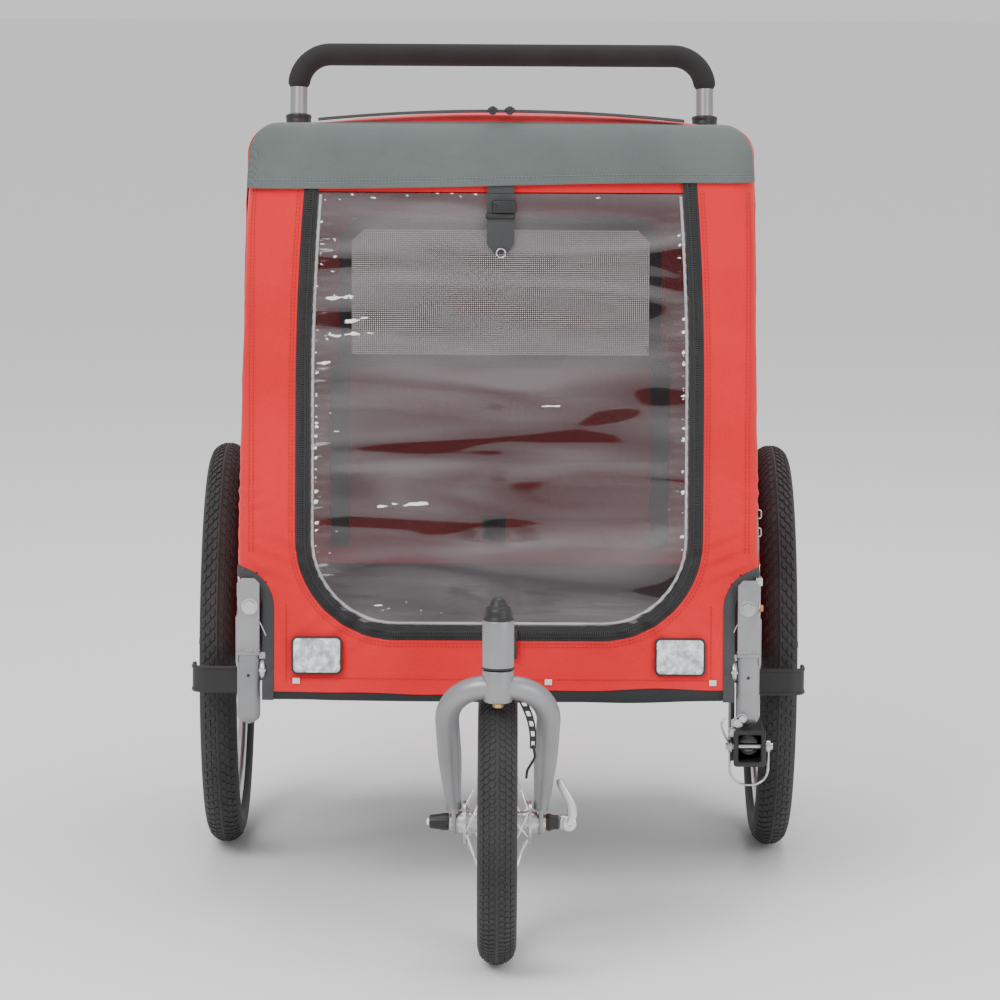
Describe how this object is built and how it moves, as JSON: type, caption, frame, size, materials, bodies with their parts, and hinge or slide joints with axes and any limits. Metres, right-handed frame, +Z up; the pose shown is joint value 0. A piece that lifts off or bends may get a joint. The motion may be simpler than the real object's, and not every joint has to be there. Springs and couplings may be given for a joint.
{
  "type": "bicycle trailer",
  "caption": "Bicycle trailer and stroller with a red fabric cabin, a clear front window, two spoked wheels, a swivelling front wheel and a push handle",
  "frame": {"origin": "on the ground, under the middle of the object's box", "axes": "+Z up, -Y towards the front wheel, +X towards the trailer's own left side"},
  "size_m": [0.75, 1.394, 0.977],
  "materials": {
    "silver_paint": "satin silver powder coat",
    "steel": "zinc plated steel",
    "chrome": "bright chrome",
    "alloy": "brushed aluminium",
    "tyre": "black tyre rubber",
    "black_rubber": "soft black rubber",
    "foam": "black foam grip",
    "black_plastic": "textured black plastic",
    "red_fabric": "red coated polyester",
    "grey_fabric": "grey-green twill",
    "mesh": "fine beige mesh",
    "webbing": "dark webbing",
    "clear_pvc": "clear flexible vinyl",
    "zipper": "black coil zipper tape",
    "reflector": "clear prismatic reflector",
    "floor": "dark grey floor cloth over board"
  },
  "bodies": {
    "root": {"side_rails": "silver_paint", "cross_tubes": "silver_paint", "front_bracket_left": "silver_paint", "front_bracket_right": "silver_paint", "rear_brackets": "silver_paint", "pivot_bolts": "steel", "axle_receivers": "silver_paint", "wheel_guards": "black_plastic", "arm_socket": "silver_paint", "floor_panel": "floor", "bracket_latches": "steel", "tow_receiver": "black_plastic", "hitch_pin": "steel", "cover_front": "red_fabric", "cover_left": "red_fabric", "cover_right": "red_fabric", "cover_roof": "red_fabric", "cover_rear": "red_fabric", "rear_mesh": "mesh", "window_zipper": "zipper", "front_flap": "grey_fabric", "roof_zipper": "zipper", "front_reflectors": "reflector", "handle_posts": "silver_paint", "post_collars": "black_plastic", "axle_left": "steel", "axle_right": "steel"},
    "hoop_left_frame": {"hoop_left": "silver_paint"},
    "hoop_right_frame": {"hoop_right": "silver_paint"},
    "wheel_left": {"tyre_left": "tyre", "rim_left": "alloy", "spokes_left": "steel", "hub_left": "alloy"},
    "wheel_right": {"tyre_right": "tyre", "rim_right": "alloy", "spokes_right": "steel", "hub_right": "alloy"},
    "button_left": {"release_button_left": "black_plastic"},
    "button_right": {"release_button_right": "black_plastic"},
    "arm": {"front_arm": "silver_paint", "head_tube": "silver_paint", "head_cap": "black_rubber"},
    "steering_fork": {"fork": "silver_paint", "skewer": "steel", "skewer_ends": "black_plastic", "fork_strap": "black_rubber"},
    "front_wheel": {"tyre_front": "tyre", "rim_front": "alloy", "spokes_front": "steel", "hub_front": "alloy"},
    "lever": {"qr_lever": "chrome"},
    "handle": {"handlebar": "silver_paint", "handle_grip": "foam"},
    "window": {"window_panel": "clear_pvc", "front_strap": "webbing", "strap_toggle": "black_plastic"},
    "window_slider": {"window_pull": "zipper"},
    "roof_slider_left": {"roof_pull_left": "zipper"},
    "roof_slider_right": {"roof_pull_right": "zipper"},
    "bail": {"hitch_bail": "steel"}
  },
  "joints": [
    {"name": "wheel_left_spin", "type": "hinge", "parent": "root", "child": "wheel_left", "pos_m": [0.338, 0.137, 0.25], "axis": [1, 0, 0], "continuous": true},
    {"name": "wheel_right_spin", "type": "hinge", "parent": "root", "child": "wheel_right", "pos_m": [-0.338, 0.137, 0.25], "axis": [1, 0, 0], "continuous": true},
    {"name": "button_left_press", "type": "slide", "parent": "root", "child": "button_left", "axis": [-1, 0, 0], "range_m": [0, 0.002], "stiffness_N_per_m": 150},
    {"name": "button_right_press", "type": "slide", "parent": "root", "child": "button_right", "axis": [1, 0, 0], "range_m": [0, 0.002], "stiffness_N_per_m": 150},
    {"name": "arm_slide", "type": "slide", "parent": "root", "child": "arm", "axis": [0, -1, 0], "range_m": [0, 0.16]},
    {"name": "fork_swivel", "type": "hinge", "parent": "arm", "child": "steering_fork", "pos_m": [0, -0.618, 0.36], "axis": [0, 0, 1], "continuous": true},
    {"name": "front_wheel_spin", "type": "hinge", "parent": "steering_fork", "child": "front_wheel", "pos_m": [0, -0.538, 0.159], "axis": [1, 0, 0], "continuous": true},
    {"name": "qr_lever_open", "type": "hinge", "parent": "steering_fork", "child": "lever", "pos_m": [0.077, -0.538, 0.159], "axis": [0, 1, 0], "range_deg": [0, 170]},
    {"name": "handle_height", "type": "slide", "parent": "root", "child": "handle", "axis": [0, 0.18, 0.9837], "range_m": [-0.025, 0.12]},
    {"name": "window_open", "type": "hinge", "parent": "root", "child": "window", "pos_m": [0, -0.21549, 0.838], "axis": [-1, 0, 0], "range_deg": [0, 100]},
    {"name": "window_slider_run", "type": "slide", "parent": "root", "child": "window_slider", "axis": [1, 0, 0], "range_m": [-0.1, 0.07]},
    {"name": "roof_slider_left_run", "type": "hinge", "parent": "root", "child": "roof_slider_left", "pos_m": [0, -0.166, -1.3497], "axis": [0, 1, 0], "range_deg": [0, 4.6]},
    {"name": "roof_slider_right_run", "type": "hinge", "parent": "root", "child": "roof_slider_right", "pos_m": [0, -0.166, -1.3497], "axis": [0, -1, 0], "range_deg": [0, 4.6]},
    {"name": "bail_swing", "type": "hinge", "parent": "root", "child": "bail", "pos_m": [0.294, -0.263, 0.195], "axis": [1, 0, 0], "range_deg": [-100, 0]},
    {"name": "frame_fold", "type": "hinge", "parent": "root", "child": "hoop_left_frame", "pos_m": [0.2905, 0.137, 0.358], "axis": [0, 1, 0], "range_deg": [-92, 0]},
    {"name": "frame_fold_right", "type": "hinge", "parent": "root", "child": "hoop_right_frame", "pos_m": [-0.2905, 0.137, 0.358], "axis": [0, -1, 0], "range_deg": [-79.2, 0]}
  ],
  "couplings": [
    {"joint": "frame_fold_right", "follows": "frame_fold", "ratio": 0.86}
  ]
}
